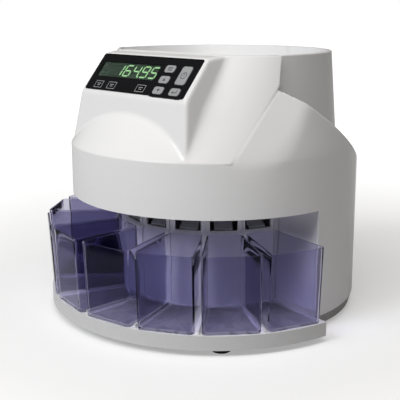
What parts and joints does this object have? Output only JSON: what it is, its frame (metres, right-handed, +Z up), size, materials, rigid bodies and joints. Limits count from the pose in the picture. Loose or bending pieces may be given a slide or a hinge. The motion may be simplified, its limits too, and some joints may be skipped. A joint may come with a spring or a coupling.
{
  "type": "coin sorting machine",
  "caption": "Table-top coin sorter with a hopper bowl, a turning sorting disc, a sloping control panel and a fan of pull-out see-through bins.",
  "frame": {"origin": "centre of the bounding box, at the table", "axes": "+Z up, -Y towards the front with the bins and the panel, +X to the right as seen from the front"},
  "size_m": [0.3526, 0.3304, 0.266],
  "materials": {
    "white_shell": "gloss",
    "hopper_white": "satin",
    "pale_base": "satin",
    "smoke": "gloss, see-through",
    "panel_black": "gloss",
    "pane": "clear",
    "display": "lit green digits",
    "key_grey": "satin",
    "rubber": "matte",
    "steel": "brushed",
    "bronze": "satin",
    "disc_grey": "satin",
    "gear_white": "satin",
    "board_green": "satin",
    "socket_black": "satin",
    "deck_grey": "matte",
    "alloy": "satin"
  },
  "bodies": {
    "case": {"main_housing": "white_shell", "hopper_bowl": "hopper_white", "base_tray": "pale_base", "rubber_feet": "rubber", "case_screws": "steel", "inner_wall": "hopper_white", "deck_plate": "deck_grey", "coin_chutes": "deck_grey", "track_plate": "alloy", "track_screws": "steel", "spindle_bearing": "bronze", "drive_motor": "alloy", "motor_screws": "steel", "sensor_board": "board_green", "control_panel": "panel_black", "display_window": "pane", "lcd_module": "display", "keypad_board": "board_green", "main_board": "board_green", "power_supply": "alloy", "power_inlet": "socket_black", "inlet_pins": "bronze", "switch_frame": "socket_black", "printer_port": "socket_black"},
    "sorting_disc": {"coin_disc": "disc_grey", "disc_spindle": "steel", "driven_gear": "gear_white", "disc_cap": "disc_grey"},
    "drive_pinion": {"motor_pinion": "gear_white", "motor_shaft": "steel"},
    "rocker": {"power_rocker": "socket_black"},
    "bin_1": {"coin_bin_1": "smoke"},
    "bin_2": {"coin_bin_2": "smoke"},
    "bin_3": {"coin_bin_3": "smoke"},
    "bin_4": {"coin_bin_4": "smoke"},
    "bin_5": {"coin_bin_5": "smoke"},
    "bin_6": {"coin_bin_6": "smoke"},
    "bin_7": {"coin_bin_7": "smoke"},
    "bin_8": {"coin_bin_8": "smoke"},
    "mode_button": {"mode_key": "key_grey"},
    "up_button": {"up_key": "key_grey"},
    "down_button": {"down_key": "key_grey"},
    "start_button": {"start_key": "key_grey"},
    "enter_button": {"enter_key": "key_grey"}
  },
  "joints": [
    {"name": "disc_spin", "type": "hinge", "parent": "case", "child": "sorting_disc", "pos_m": [0, 0.01425, 0.142], "axis": [0, 0, 1], "continuous": true},
    {"name": "pinion_spin", "type": "hinge", "parent": "case", "child": "drive_pinion", "pos_m": [0, 0.07425, 0.142], "axis": [0, 0, 1], "continuous": true},
    {"name": "bin_1_slide", "type": "slide", "parent": "case", "child": "bin_1", "axis": [-0.9478, -0.319, 0], "range_m": [0, 0.08]},
    {"name": "bin_2_slide", "type": "slide", "parent": "case", "child": "bin_2", "axis": [-0.7771, -0.6293, 0], "range_m": [0, 0.08]},
    {"name": "bin_3_slide", "type": "slide", "parent": "case", "child": "bin_3", "axis": [-0.509, -0.8607, 0], "range_m": [0, 0.08]},
    {"name": "bin_4_slide", "type": "slide", "parent": "case", "child": "bin_4", "axis": [-0.1771, -0.9842, 0], "range_m": [0, 0.08]},
    {"name": "bin_5_slide", "type": "slide", "parent": "case", "child": "bin_5", "axis": [0.1771, -0.9842, 0], "range_m": [0, 0.08]},
    {"name": "bin_6_slide", "type": "slide", "parent": "case", "child": "bin_6", "axis": [0.509, -0.8607, 0], "range_m": [0, 0.08]},
    {"name": "bin_7_slide", "type": "slide", "parent": "case", "child": "bin_7", "axis": [0.7771, -0.6293, 0], "range_m": [0, 0.08]},
    {"name": "bin_8_slide", "type": "slide", "parent": "case", "child": "bin_8", "axis": [0.9478, -0.319, 0], "range_m": [0, 0.08]},
    {"name": "mode_press", "type": "slide", "parent": "case", "child": "mode_button", "axis": [0, 0.7705, -0.6374], "range_m": [0, 0.0005], "stiffness_N_per_m": 400},
    {"name": "up_press", "type": "slide", "parent": "case", "child": "up_button", "axis": [0, 0.7705, -0.6374], "range_m": [0, 0.0005], "stiffness_N_per_m": 400},
    {"name": "down_press", "type": "slide", "parent": "case", "child": "down_button", "axis": [0, 0.7705, -0.6374], "range_m": [0, 0.0005], "stiffness_N_per_m": 400},
    {"name": "start_press", "type": "slide", "parent": "case", "child": "start_button", "axis": [0, 0.7705, -0.6374], "range_m": [0, 0.0005], "stiffness_N_per_m": 400},
    {"name": "enter_press", "type": "slide", "parent": "case", "child": "enter_button", "axis": [0, 0.7705, -0.6374], "range_m": [0, 0.0005], "stiffness_N_per_m": 400},
    {"name": "rocker_tilt", "type": "hinge", "parent": "case", "child": "rocker", "pos_m": [0, 0.14925, 0.052], "axis": [1, 0, 0], "range_deg": [0, 14]}
  ],
  "couplings": [
    {"joint": "pinion_spin", "follows": "disc_spin", "ratio": -3}
  ]
}
